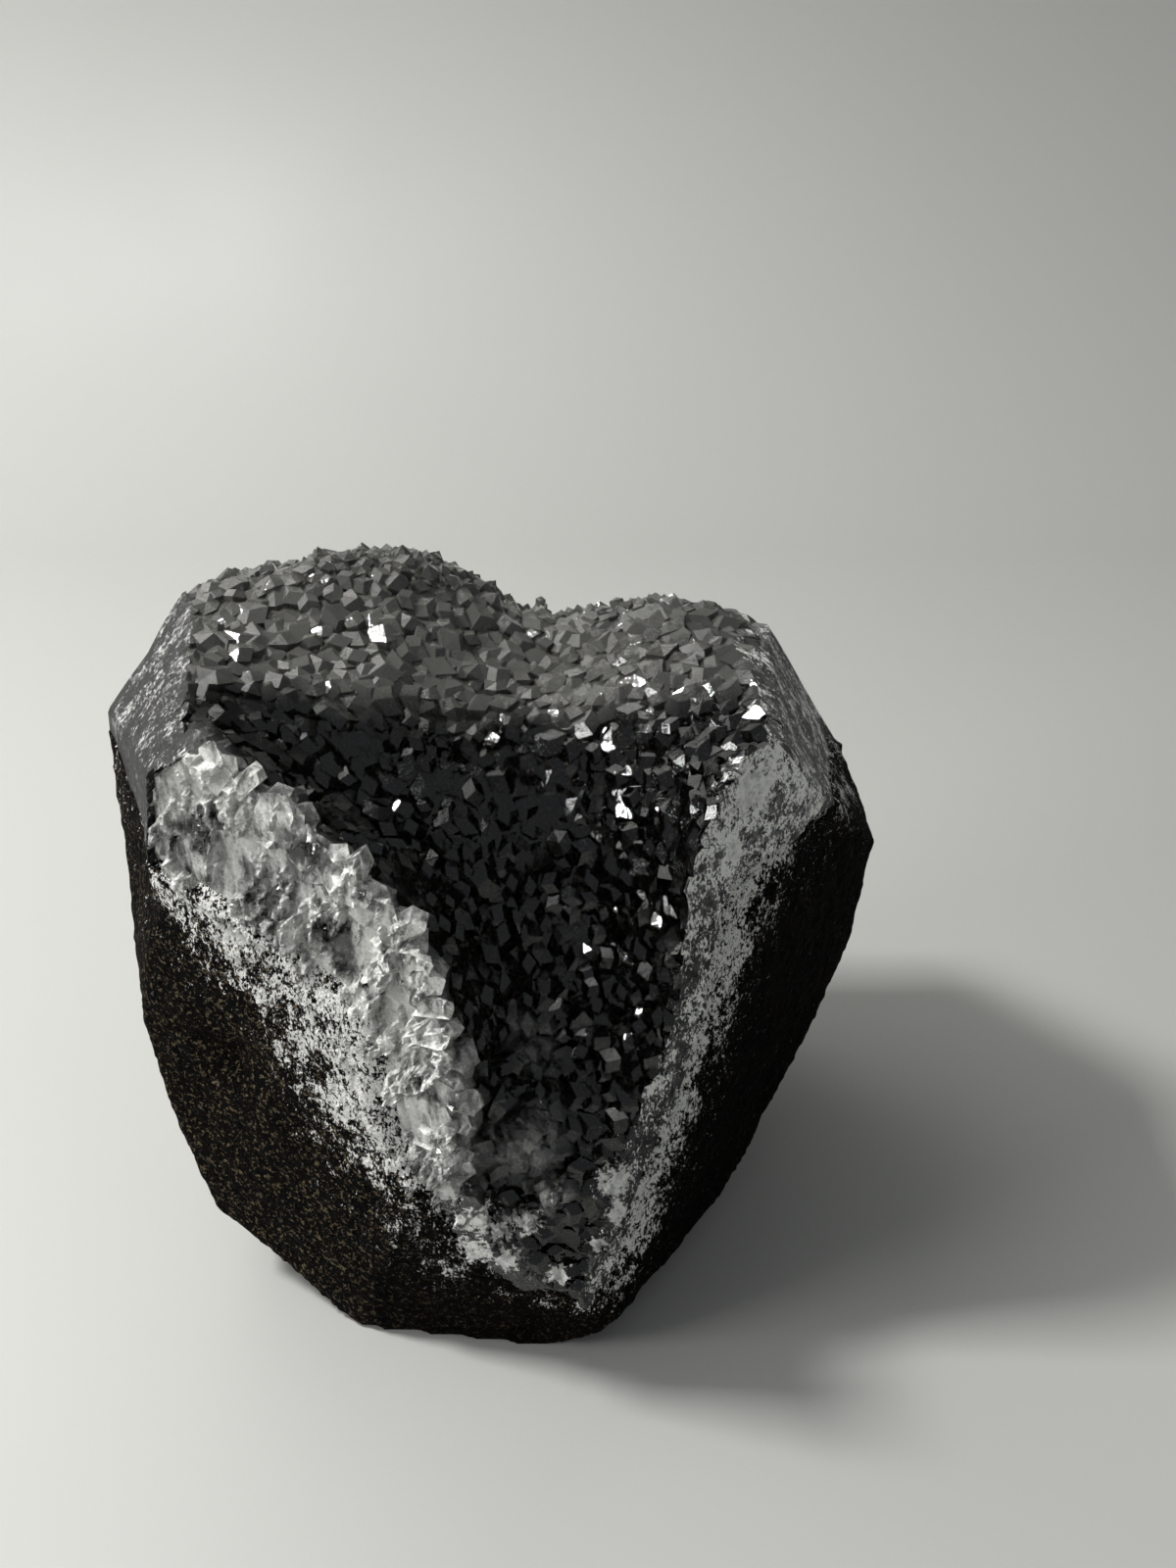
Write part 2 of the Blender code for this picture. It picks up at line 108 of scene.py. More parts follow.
# Ground flats that cut the crust: a point in millimetres, the outward direction, and how far
# broken crystals stand proud of the flat in millimetres
FLATS = {
    "left front": ((-15.4, -18.0, 0.8), (-0.46, -0.89, -0.02), 0.7),
    "left": ((-42.0, 9.0, 58.0), (-0.90, -0.41, 0.12), 0.0),
    "left top": ((-33.9, 18.0, 74.3), (-0.71, -0.23, 0.67), 0.1),
    "front foot": ((-15.4, -18.0, 0.8), (-0.13, -0.98, -0.14), 0.8),
    "right front": ((18.9, -14.0, 51.3), (0.60, -0.80, 0.04), 0.2),
    "right": ((32.3, -3.5, 62.0), (0.80, -0.59, -0.09), 0.0),
    "right top": ((32.3, -3.5, 62.0), (0.87, -0.05, 0.50), 0.0),
    "right shoulder": ((27.5, 8.0, 69.8), (0.62, -0.05, 0.78), 0.0),
    "rest": ((0.0, 0.0, 0.0), (0.0, 0.0, -1.0), 0.0),
    "left underside": ((-36.9, -7.5, 27.1), (-0.99, -0.01, -0.15), 0.0),
    "left heel": ((-34.2, -8.6, 14.9), (-0.96, -0.08, -0.27), 0.0),
    "left foot": ((-24.4, -13.4, 4.8), (-0.55, -0.19, -0.82), 0.0),
    "right foot": ((16.2, -18.6, 5.8), (0.49, -0.32, -0.81), 0.0),
    "right underside": ((36.7, 8.7, 21.7), (0.87, 0.05, -0.49), 0.0),
    "right heel": ((26.8, -2.6, 7.1), (0.76, -0.04, -0.65), 0.0),
    "back foot": ((0.0, 41.0, 18.0), (0.05, 0.72, -0.69), 0.0),
    "right back": ((42.3, 13.8, 37.9), (0.97, 0.23, -0.11), 0.0),
    "right back top": ((35.4, 23.9, 59.3), (0.64, 0.58, 0.50), 0.0),
    "left back": ((-37.9, 14.9, 69.0), (-0.82, 0.45, 0.34), 0.0),
    "left back low": ((-30.0, 32.0, 40.0), (-0.60, 0.79, -0.12), 0.0),
    "back right": ((30.0, 38.0, 50.0), (0.55, 0.83, 0.05), 0.0),
    "back": ((0.0, 43.0, 46.0), (-0.05, 1.0, -0.12), 0.0),
}

# Whiter and clearer places of the split flank: centre and radius in millimetres, and strength
WHITE_SPOTS = (
    ((-25.1, -14.6, 68.5), 5.0, 1.0), ((-27.6, -13.0, 61.4), 3.0, -1.2), ((-25.2, -14.5, 64.5), 2.0, -1.0),
    ((-16.8, -18.7, 64.3), 2.6, -1.2), ((-13.9, -19.9, 54.4), 3.2, -1.0), ((-21.0, -16.3, 56.3), 4.0, -0.6),
    ((-11.0, -21.5, 57.0), 4.0, 0.7), ((-7.5, -23.5, 47.0), 4.0, 0.8), ((-9.0, -22.5, 36.0), 4.0, 0.6),
)

# Where the upper shelf begins, in millimetres along the open side: from there up, the quartz is made paler
# with haze, partly real haze and partly painted reflection of the bright backdrop
SHELF_EDGE = 50.0

# Clusters of points: centre and spread in millimetres, how many, least and greatest radius, and lift
ROSETTES = (
    ((3.0, -17.5, 29.5), 3.4, 22, 1.0, 1.6, 2.2), ((6.0, -20.6, 23.6), 1.3, 10, 0.7, 1.1, 1.6),
    ((1.0, -15.0, 36.0), 3.0, 8, 1.0, 1.6, 0.6), ((12.0, -14.0, 36.0), 4.0, 8, 1.0, 1.6, 0.5),
    ((-2.0, 4.0, 63.0), 4.0, 6, 1.0, 1.5, 0.4), ((4.0, 31.0, 66.0), 0.8, 3, 0.7, 1.0, 1.6),
    ((-4.5, -23.1, 26.0), 1.8, 22, 0.3, 0.7, 0.7), ((-1.2, -22.8, 22.3), 2.4, 34, 0.3, 0.7, 0.8),
    ((3.0, -21.9, 20.5), 1.8, 18, 0.3, 0.6, 0.6), ((-2.0, -22.5, 18.0), 2.0, 22, 0.3, 0.6, 0.7),
    ((12.6, -20.0, 24.4), 2.0, 22, 0.3, 0.7, 0.7), ((13.0, -20.8, 20.2), 1.6, 14, 0.3, 0.6, 0.6),
    ((24.6, -7.5, 64.0), 2.6, 18, 0.4, 0.8, 0.5),
)

# How pale each ground flat of the crust is; the others are 0.6
PALE = {"left": 0.2, "left top": 0.3, "right front": 1.0, "right top": 0.6, "front foot": 0.0,
        "left front": 0.0}

# White specks of the stone beside the crust: how dense on a flat, and the heights in millimetres
# between which they set in
SPECKLED = {"left front": (1.0, 13.0, 28.0), "right front": (1.5, 3.0, 14.0), "left": (0.3, 13.0, 28.0),
            "front foot": (0.7, 6.0, 18.0), "right": (0.12, 3.0, 14.0), "right top": (0.6, 13.0, 28.0)}
OTHER_SPECKLED = (0.35, 13.0, 28.0)

# How brown the flecks of the stone are on a flat
BROWNED = {"left front": 1.0, "left foot": 1.0, "left heel": 0.9, "left underside": 0.9, "front foot": 0.3,
           "right front": 0.3, "right": 0.03, "right foot": 0.4}
OTHER_BROWNED = 0.35

# How far the values of neighbouring flats run into each other
FLAT_BLEND = 0.9 * MM

# Denser patches of white specks: centre and radius in millimetres; and how far specks reach
SPECK_SPOTS = (
    ((-3.7, -21.4, 13.8), 4.0), ((-5.5, -22.0, 20.0), 5.0), ((-1.5, -22.0, 5.0), 2.0),
    ((-28.5, -11.5, 50.0), 6.0), ((-15.0, -18.8, 32.0), 5.0), ((9.5, -21.5, 9.5), 3.5),
    ((14.0, -19.5, 16.0), 4.0), ((12.0, -20.5, 12.5), 4.0), ((5.0, -22.0, 8.5), 2.0),
)
SPOT_DENSITY = 0.8
SPECK_REACH = 13.5 * MM

# Floor and backdrop in metres: half width, front end, depth, radius of the bend, its steps, and height
FLOOR_SIDE = 1.3
FLOOR_FRONT = -0.9
FLOOR_DEPTH = 0.36
BEND = 0.13
BEND_STEPS = 24
BACKDROP_TOP = 0.9

# Lights: name, place, aim, size, power and colour
LIGHTS = (
    ("back", (-0.22, 0.33, 0.44), (0.0, -0.3, 0.28), (0.9, 0.5), 2.1, (1.0, 0.995, 0.96)),
    ("roof", (-0.22, 0.21, 0.60), (0.0, 0.12, 0.0), (0.9, 0.30), 1.3, (1.0, 0.995, 0.96)),
    ("key", (-0.34, 0.02, 0.48), (0.0, 0.02, 0.03), (0.08, 0.08), 4.0, (1.0, 1.0, 0.99)),
    ("side", (-0.40, -0.16, 0.20), (-0.02, -0.01, 0.05), (0.14, 0.14), 1.0, (1.0, 1.0, 0.99)),
)
ROOM_COLOUR = (0.93, 0.97, 1.0, 1)
ROOM_STRENGTH = 0.3

# The photograph's view
CAMERA_PLACE = (0.0098, -0.132, 0.134)
CAMERA_TILT = 60.7
CAMERA_LENS = 33.75
CAMERA_SENSOR = 36.0
CAMERA_CLIP = 0.005


def link(name, mesh):
    """Make an object of the mesh."""
    thing = bpy.data.objects.new(name, mesh)
    bpy.context.scene.collection.objects.link(thing)
    return thing


def mesh_of(thing):
    """The object's evaluated mesh as a new mesh."""
    graph = bpy.context.evaluated_depsgraph_get()
    return bpy.data.meshes.new_from_object(thing.evaluated_get(graph))


def combine(thing, other, operation):
    """Join, cut or keep by another closed object, which is then removed."""
    modifier = thing.modifiers.new("combine", "BOOLEAN")
    modifier.operation = operation
    modifier.solver = "MANIFOLD"
    modifier.object = other
    mesh = mesh_of(thing)
    thing.modifiers.clear()
    old = thing.data
    thing.data = mesh
    bpy.data.meshes.remove(old)
    bpy.data.objects.remove(other, do_unlink=True)
    if not mesh.polygons:
        raise RuntimeError(f"{operation} left nothing of {thing.name}")


def tree_of(thing):
    """A tree of the object's triangles for nearest points and rays."""
    mesh = thing.data
    mesh.calc_loop_triangles()
    corners = [tuple(vert.co) for vert in mesh.vertices]
    return BVHTree.FromPolygons(corners, [tuple(tri.vertices) for tri in mesh.loop_triangles])


def outside_by(point):
    """How far a point lies outside the flats, in metres."""
    return max((point - Vector(p) * MM).dot(Vector(n).normalized()) for p, n, _ in FLATS.values())


def shares_of_flats(mesh):
    """How much each vertex belongs to each flat: a row of shares for every vertex."""
    corners = np.empty(len(mesh.vertices) * 3)
    mesh.vertices.foreach_get("co", corners)
    corners = corners.reshape(-1, 3)
    directions = np.array([Vector(outward).normalized() for _, outward, _ in FLATS.values()])
    places = np.array([place for place, _, _ in FLATS.values()]) * MM
    gaps = corners @ directions.T - np.sum(places * directions, axis=1)
    shares = np.exp((gaps - gaps.max(axis=1, keepdims=True)) / FLAT_BLEND)
    return shares / shares.sum(axis=1, keepdims=True)


def rise_between(value, low, high):
    """Straight rise from 0 to 1 as the value goes from low to high."""
    return min(max((value - low) / (high - low), 0.0), 1.0)


def from_face(across, along, out):
    """The point at (across, along, out) of the open side, in metres."""
    return Vector((across, 0.0, 0.0)) + ALONG * along + OPEN * out


def radii_from(point, centre, radius):
    """Distance of a point from a spot's centre, in radii of the spot."""
    return (point - Vector(centre) * MM).length / (radius * MM)


def random_vector(rng):
    """Three normal random numbers."""
    return Vector((rng.gauss(0, 1), rng.gauss(0, 1), rng.gauss(0, 1)))


class CrystalFace:
    """The smooth surface that the quartz points stand on, read from the crust of the frame."""

    SAMPLE = 1.0 * MM
    REACH = 2.2 * MM
    CLEAR = 0.7 * MM
    ACROSS = (-60 * MM, 60 * MM)
    ALONG = (-30 * MM, 105 * MM)

    def __init__(self, crust):
        tree = tree_of(crust)
        known = []
        for x in np.arange(*GROWN_ACROSS, self.SAMPLE):
            for t in np.arange(*GROWN_ALONG, self.SAMPLE):
                hit = tree.ray_cast(from_face(x, t, 0.2), -OPEN)[0]
                if hit is not None and outside_by(hit) < -self.CLEAR:
                    known.append((x, t, hit.dot(OPEN)))
        known = np.array(known)
        self.across = np.arange(self.ACROSS[0], self.ACROSS[1] + self.SAMPLE / 2, self.SAMPLE)
        self.along = np.arange(self.ALONG[0], self.ALONG[1] + self.SAMPLE / 2, self.SAMPLE)
        places = np.array([(x, t) for t in self.along for x in self.across])
        fits = np.concatenate([self.fitted(known, rows) for rows in np.array_split(places, 60)])
        self.grid = fits.reshape(len(self.along), len(self.across), 3)

    def fitted(self, known, rows):
        """Height and slopes at the rows: a plane fitted to the samples near each."""
        gap = known[None, :, :2] - rows[:, None, :]
        near = np.sum(gap * gap, axis=2)
        reach = np.maximum(self.REACH, 0.8 * np.sqrt(near.min(axis=1)))[:, None]
        weight = np.exp(-near / (2 * reach * reach))
        basis = np.concatenate([np.ones(gap.shape[:2] + (1,)), gap], axis=2)
        weighted = basis * weight[:, :, None]
        left = np.matmul(weighted.transpose(0, 2, 1), basis) + np.eye(3) * 1e-12
        right = np.matmul(weighted.transpose(0, 2, 1), known[:, 2])
        return np.linalg.solve(left, right[..., None])[..., 0]

    def at(self, x, t):
        """Height and slopes at (across, along), between the four nearest grid points."""
        i = min(max((x - self.across[0]) / self.SAMPLE, 0.0), len(self.across) - 1.001)
        j = min(max((t - self.along[0]) / self.SAMPLE, 0.0), len(self.along) - 1.001)
        a, b = int(i), int(j)
        u, v = i - a, j - b
        near, far = self.grid[b], self.grid[b + 1]
        low = near[a] * (1 - u) + near[a + 1] * u
        high = far[a] * (1 - u) + far[a + 1] * u
        return low * (1 - v) + high * v

    def point(self, x, t):
        """The point of the face at (across, along) and the outward direction there."""
        out, slope_x, slope_t = (float(value) for value in self.at(x, t))
        normal = OPEN - Vector((1, 0, 0)) * slope_x - ALONG * slope_t
        return from_face(x, t, out), normal.normalized()


def crystal_shape(centre, axis, radius, root, tip, turn, squeeze, shift):
    """A six-sided quartz point: its root, shoulder and tip, as corners and faces."""
    stand = Vector((0, 0, 1)).rotation_difference(axis).to_matrix() @ Matrix.Rotation(turn, 3, "Z")
    ring = []
    for k in range(6):
        angle = k * math.pi / 3
        ring.append(Vector((radius * math.cos(angle), radius * squeeze * math.sin(angle), 0.0)))
    low = [centre + stand @ (point - Vector((0, 0, root))) for point in ring]
    high = [centre + stand @ (point + Vector((0, 0, shift * (1 if k % 2 else -1))))
            for k, point in enumerate(ring)]
    top = centre + stand @ Vector((0.0, 0.0, tip))
    faces = [tuple(range(5, -1, -1))]
    for k in range(6):
        after = (k + 1) % 6
        faces.append((k, after, 6 + after, 6 + k))
        faces.append((6 + k, 6 + after, 12))
    return low + high + [top], faces


class Cluster:
    """Crystals that are made one closed mesh."""

    def __init__(self):
        self.shapes = []
        self.middles = []
        self.spans = []

    def add(self, centre, axis, radius, root, tip, turn, squeeze=1.0, shift=0.0):
        corners, faces = crystal_shape(centre, axis, radius, root, tip, turn, squeeze, shift)
        middle = sum(corners, Vector()) / len(corners)
        self.shapes.append((corners, faces))
        self.middles.append(middle)
        self.spans.append(max((corner - middle).length for corner in corners) + 0.02 * MM)

    def groups(self):
        """The crystals in groups whose members don't touch each other."""
        tree = kdtree.KDTree(len(self.middles))
        for index, middle in enumerate(self.middles):
            tree.insert(middle, index)
        tree.balance()
        widest = max(self.spans)
        group = {}
        for index, middle in enumerate(self.middles):
            taken = {group[other] for _, other, gap in tree.find_range(middle, self.spans[index] + widest)
                     if other in group and gap < self.spans[index] + self.spans[other]}
            group[index] = next(number for number in itertools.count() if number not in taken)
        rows = {}
        for index, number in group.items():
            rows.setdefault(number, []).append(index)
        return [rows[number] for number in sorted(rows)]

    def join(self, name):
        """One closed mesh of all the crystals."""
        whole = None
        for members in self.groups():
            corners, faces = [], []
            for index in members:
                start = len(corners)
                corners += [tuple(corner) for corner in self.shapes[index][0]]
                faces += [tuple(start + k for k in face) for face in self.shapes[index][1]]
            mesh = bpy.data.meshes.new(name)
            mesh.from_pydata(corners, [], faces)
            part = link(name, mesh)
            if whole is None:
                whole = part
            else:
                combine(whole, part, "UNION")
        print(name, len(self.shapes), "crystals,", len(whole.data.polygons), "faces")
        return whole


def scatter(face, pitch, rng, tries):
    """Places for the quartz points, no two nearer than the pitch: a point and a direction each."""
    cells = {}
    kept = []
    for _ in range(tries):
        point, normal = face.point(rng.uniform(*GROWN_ACROSS), rng.uniform(*GROWN_ALONG))
        if outside_by(point) > OVERHANG:
            continue
        cell = tuple(int(math.floor(value / pitch)) for value in point)
        around = itertools.product(*(range(index - 1, index + 2) for index in cell))
        if any((point - other).length < pitch for key in around for other in cells.get(key, ())):
            continue
        cells.setdefault(cell, []).append(point)
        kept.append((point, normal))
    return kept


def block_of_flats(name):
    """The block within the flats, each moved out by what stands proud of it."""
    bm = bmesh.new()
    bmesh.ops.create_cube(bm, size=0.2)
    bmesh.ops.translate(bm, vec=(0, 0, 0.05), verts=bm.verts)
    for point, normal, proud in FLATS.values():
        outward = Vector(normal).normalized()
        place = (Vector(point) + outward * proud) * MM
        geom = bm.verts[:] + bm.edges[:] + bm.faces[:]
        bmesh.ops.bisect_plane(bm, geom=geom, plane_co=place, plane_no=outward, clear_outer=True)
        bmesh.ops.holes_fill(bm, edges=[edge for edge in bm.edges if edge.is_boundary])
    bmesh.ops.triangulate(bm, faces=bm.faces)
    mesh = bpy.data.meshes.new(name)
    bm.to_mesh(mesh)
    bm.free()
    return link(name, mesh)


def space_above(face, lower_by):
    """The space above the crystal face, lowered, as a closed solid."""
    across, along = face.across[::2], face.along[::2]
    heights = face.grid[::2, ::2, 0] - lower_by
    bm = bmesh.new()
    low = [[bm.verts.new(from_face(x, t, float(heights[j, i]))) for i, x in enumerate(across)]
           for j, t in enumerate(along)]
    for near, far in zip(low, low[1:]):
        for i in range(len(across) - 1):
            bm.faces.new((near[i], far[i], far[i + 1], near[i + 1]))
    rim = [edge for edge in bm.edges if edge.is_boundary]
    made = bmesh.ops.extrude_edge_only(bm, edges=rim)["geom"]
    for vert in made:
        if isinstance(vert, bmesh.types.BMVert):
            vert.co += OPEN * (0.16 - vert.co.dot(OPEN))
    lid = [item for item in made if isinstance(item, bmesh.types.BMEdge) and item.is_boundary]
    bmesh.ops.contextual_create(bm, geom=lid)
    bmesh.ops.triangulate(bm, faces=bm.faces)
    bmesh.ops.recalc_face_normals(bm, faces=bm.faces)
    mesh = bpy.data.meshes.new("space_above")
    bm.to_mesh(mesh)
    bm.free()
    return link("space_above", mesh)


def copy_of(thing, name):
    """A copy of a frame node's mesh as an object of its own."""
    bm = bmesh.new()
    bm.from_mesh(thing.data)
    bmesh.ops.remove_doubles(bm, verts=bm.verts, dist=1e-6)
    mesh = bpy.data.meshes.new(name)
    bm.to_mesh(mesh)
    bm.free()
    return link(name, mesh)


def on_flat(point, normal):
    """The name of the flat that a face lies on, or None."""
    for name, (place, outward, _) in FLATS.items():
        direction = Vector(outward).normalized()
        gap = abs((point - Vector(place) * MM).dot(direction))
        if normal.dot(direction) > FLAT_TURN and gap < FLAT_GAP:
            return name
    return None


def drop_crumbs(thing, fewest):
    """Remove loose bits with fewer faces than that."""
    bm = bmesh.new()
    bm.from_mesh(thing.data)
    seen = set()
    crumbs = []
    for start in bm.faces:
        if start in seen:
            continue
        seen.add(start)
        island = [start]
        for face in island:
            for edge in face.edges:
                for beside in edge.link_faces:
                    if beside not in seen:
                        seen.add(beside)
                        island.append(beside)
        if len(island) < fewest:
            crumbs += island
    bmesh.ops.delete(bm, geom=crumbs, context="FACES")
    bm.to_mesh(thing.data)
    bm.free()


def fine_flanks(thing, longest, longest_broken):
    """Mark the ground flanks of the crust with the number of their flat, and divide them finely."""
    names = list(FLATS)
    bm = bmesh.new()
    bm.from_mesh(thing.data)
    bmesh.ops.triangulate(bm, faces=bm.faces)
    bm.normal_update()
    marks = bm.faces.layers.int.new("flat")
    for face in bm.faces:
        name = on_flat(face.calc_center_median(), face.normal)
        face[marks] = names.index(name) + 1 if name else 0
    broken = names.index(BROKEN_FLAT) + 1
    for _ in range(6):
        edges = []
        for edge in bm.edges:
            numbers = {face[marks] for face in edge.link_faces} - {0}
            limit = longest_broken if broken in numbers else longest
            if numbers and edge.calc_length() > limit:
                edges.append(edge)
        if not edges:
            break
        bmesh.ops.subdivide_edges(bm, edges=edges, cuts=1)
        bmesh.ops.triangulate(bm, faces=bm.faces)
    bm.to_mesh(thing.data)
    bm.free()


def break_flank(mesh):
    """Give the split flank of the crust the steps and slants of broken quartz columns."""
    place, outward, _ = FLATS[BROKEN_FLAT]
    outward = Vector(outward).normalized()
    column = (OPEN - outward * OPEN.dot(outward)).normalized()
    across = outward.cross(column)
    marks = mesh.attributes["flat"].data
    broken = list(FLATS).index(BROKEN_FLAT) + 1
    verts = {index for face in mesh.polygons if marks[face.index].value == broken
             for index in face.vertices}
    for index in verts:
        vert = mesh.vertices[index]
        u, v = vert.co.dot(column) / MM, vert.co.dot(across) / MM
        spot = Vector((v / 1.7 + 1.1 * noise.noise(Vector((u / 7, v / 9, 0))), u / 4.2, 0.0))
        centre = noise.voronoi(spot)[1][0]
        level = noise.cell(centre * 9.7)
        slant = noise.cell_vector(centre * 5.3) - Vector((0.5, 0.5, 0.5))
        height = 1.2 * (level - 0.6) + 1.3 * (spot - centre).dot(slant)
        small = Vector((v / 0.75, u / 1.7, 4.0))
        height += 0.45 * (noise.cell(noise.voronoi(small)[1][0] * 7.1) - 0.5)
        height += 0.18 * noise.fractal(Vector((v / 0.5, u / 2.4, 3.0)), 0.7, 2.0, 3)
        vert.co += outward * (min(max(height, DEEPEST), PROUDEST) * MM)
    mesh.update()


class Socket:
    """A socket of a material, so that shader maths reads as an expression."""

    def __init__(self, finish, socket):
        self.finish = finish
        self.socket = socket

    def maths(self, operation, *terms):
        """A Math node over these terms."""
        return self.finish.node("ShaderNodeMath", {"operation": operation}, dict(enumerate(terms)))

    def __add__(self, other):
        return self.maths("ADD", self, other)

    __radd__ = __add__

    def __sub__(self, other):
        return self.maths("SUBTRACT", self, other)

    def __rsub__(self, other):
        return self.maths("SUBTRACT", other, self)

    def __mul__(self, other):
        return self.maths("MULTIPLY", self, other)

    __rmul__ = __mul__

    def most(self, other):
        """The greater of the two."""
        return self.maths("MAXIMUM", self, other)

    def least(self, other):
        """The lesser of the two."""
        return self.maths("MINIMUM", self, other)

    def step(self, low, high, start=0.0, end=1.0):
        """Smooth rise from start to end as the value goes from low to high."""
        settings = {"interpolation_type": "SMOOTHSTEP", "clamp": True}
        inputs = {0: self, 1: low, 2: high, 3: start, 4: end}
        return self.finish.node("ShaderNodeMapRange", settings, inputs)


class Finish:
    """A material being made."""

    def __init__(self, name):
        self.material = bpy.data.materials.new(name)
        self.material.use_nodes = True
        self.tree = self.material.node_tree
        self.tree.nodes.clear()
        self.output = self.tree.nodes.new("ShaderNodeOutputMaterial")
        self.place = self.node("ShaderNodeTexCoord", output="Object")

    def node(self, kind, settings=None, inputs=None, output=0):
        """Add a node: its settings first, then the values or links of its sockets."""
        made = self.tree.nodes.new(kind)
        for key, value in (settings or {}).items():
            setattr(made, key, value)
        for key, value in (inputs or {}).items():
            if isinstance(value, Socket):
                self.tree.links.new(value.socket, made.inputs[key])
            else:
                made.inputs[key].default_value = value
        return Socket(self, made.outputs[output])

    def value(self, name):
        """A named value that the mesh carries."""
        return self.node("ShaderNodeAttribute", {"attribute_name": name}, output="Fac")

    def stretched(self, scale):
        """Object coordinates scaled by three numbers, per metre."""
        return self.node("ShaderNodeVectorMath", {"operation": "MULTIPLY"}, {0: self.place, 1: scale})

    def noise(self, scale, detail=2.0, rough=0.5, vector=None):
        """Cloudy noise from 0 to 1; the scale is per metre where no vector is given."""
        inputs = {"Vector": vector or self.place, "Scale": scale, "Detail": detail, "Roughness": rough}
        return self.node("ShaderNodeTexNoise", None, inputs)

    def mix(self, factor, first, second):
        """Mix of two colours."""
        return self.node("ShaderNodeMix", {"data_type": "RGBA"}, {0: factor, 6: first, 7: second}, 2)

    def bump(self, height, distance, strength=1.0):
        """Bump of a height in metres."""
        return self.node("ShaderNodeBump", None,
                         {"Height": height, "Distance": distance, "Strength": strength})

    def shader(self, **inputs):
        """A Principled shader; underscores in the names stand for spaces."""
        sockets = {name.replace("_", " "): value for name, value in inputs.items()}
        return self.node("ShaderNodeBsdfPrincipled", None, sockets)

    def blend(self, factor, first, second):
        """Mix of two shaders."""
        return self.node("ShaderNodeMixShader", None, {0: factor, 1: first, 2: second})

    def surface(self, shader):
        """Use the shader for the surface."""
        self.tree.links.new(shader.socket, self.output.inputs["Surface"])

    def volume(self, shader):
        """Use the shader for the inside."""
        self.tree.links.new(shader.socket, self.output.inputs["Volume"])


def grey(level, tint=(1.0, 1.0, 1.0)):
    """An opaque colour of that level."""
    return (level * tint[0], level * tint[1], level * tint[2], 1.0)


# Tint of the white quartz
WARM = (1.0, 0.995, 0.955)


def speckle(finish, density):
    """White quartz grains on dark stone: the share that is white follows the density, from 0 to 1."""
    grains = finish.noise(1.0, 4.0, 0.8, finish.stretched((3300.0, 3300.0, 2100.0)))
    clumps = finish.noise(1.0, 2.0, 0.6, finish.stretched((1000.0, 1000.0, 650.0)))
    level = grains + (clumps - 0.5) * 0.45 + density * 0.24
    return level.step(0.66, 0.69)


def quartz_finish(settings):
    """Clear smoky quartz, paler with haze and painted reflection on the shelf, milky where it was split and,
    as painted highlight, on the rosettes, and frosted where it was ground.
    """
    finish = Finish("clear_quartz")
    split = finish.value("split")
    ground = finish.value("ground")
    shelf = finish.value("shelf")
    fine = finish.noise(900.0, 4.0, 0.6)
    film = finish.noise(260.0, 3.0, 0.55)
    streaks = finish.noise(1.0, 5.0, 0.62, finish.stretched((900.0, 900.0, 240.0)))
    grains = finish.noise(2600.0, 4.0, 0.75)
    gloss = film.step(0.35, 0.75, 0.02, 0.12)
    tint = (*settings.quartz_colour, 1.0)
    growth = finish.bump(fine + streaks * 0.6, 0.00012, 0.5)
    clear = finish.shader(Base_Color=tint, Roughness=gloss, IOR=settings.quartz_ior, Transmission_Weight=1.0,
                          Normal=growth)
    # Olive quartz with haze for the shelf: partly real haze, partly painted reflection that makes the
    # upward-facing shelf paler
    olive = (*(value * part for value, part in zip(settings.quartz_colour, (1.0, 0.985, 0.93))), 1.0)
    haze_and_painted_reflection = finish.shader(Base_Color=olive, Roughness=gloss, IOR=settings.quartz_ior, Transmission_Weight=0.92,
                         Normal=growth)
    crystal = finish.blend(shelf, clear, haze_and_painted_reflection)

    white = finish.value("white")
    cloud = streaks * 0.6 + grains * 0.4 + white * 0.12
    milk = finish.mix(cloud.step(0.38, 0.60), grey(0.30, WARM), grey(0.97, WARM))
    milky = finish.shader(Base_Color=milk, Roughness=fine.step(0.3, 0.7, 0.12, 0.4), IOR=settings.quartz_ior,
                          Transmission_Weight=0.3,
                          Normal=finish.bump(streaks + grains * 0.5, 0.0006, 0.7))
    window = film * 0.6 + streaks * 0.4 + white * 0.11
    crystal = finish.blend((split * window.step(0.38, 0.53)).least(1.0), crystal, milky)

    speck = speckle(finish, (0.1 + ground * 0.7 + (film - 0.5) * 2.2).most(0.0).least(0.9))
    dull = finish.mix(ground.step(0.2, 1.0), finish.mix(fine.step(0.4, 0.65), grey(0.004), grey(0.022)),
                      finish.mix(fine.step(0.4, 0.65), grey(0.03), grey(0.16)))
    frost = finish.mix(speck, dull, finish.mix(ground.step(0.15, 0.5), grey(0.115, WARM), grey(0.8, WARM)))
    frosted = finish.shader(Base_Color=frost, Roughness=fine.step(0.3, 0.7, 0.4, 0.65),
                            Specular_IOR_Level=0.2, Normal=finish.bump(grains, 0.0004, 0.6))
    crystal = finish.blend(ground.step(0.0, 0.05), crystal, frosted)

    clots = finish.noise(1.0, 4.0, 0.7, finish.stretched((1300.0, 1300.0, 1300.0)))
    chalk = finish.value("chalk")
    clotted = finish.mix(fine.step(0.3, 0.6), grey(0.55, WARM), grey(0.95, WARM))
    chalky = finish.shader(Base_Color=clotted, Roughness=0.6, Specular_IOR_Level=0.3,
                           Normal=finish.bump(grains + fine, 0.0007, 0.8))
    finish.surface(finish.blend((chalk + (clots - 0.5) * 2.4).step(0.34, 0.42) * chalk.step(0.0, 0.1),
                                crystal, chalky))
    finish.volume(finish.node("ShaderNodeVolumeAbsorption", None,
                              {"Color": (*settings.smoke_colour, 1.0), "Density": settings.smoke_density}))
    return finish.material


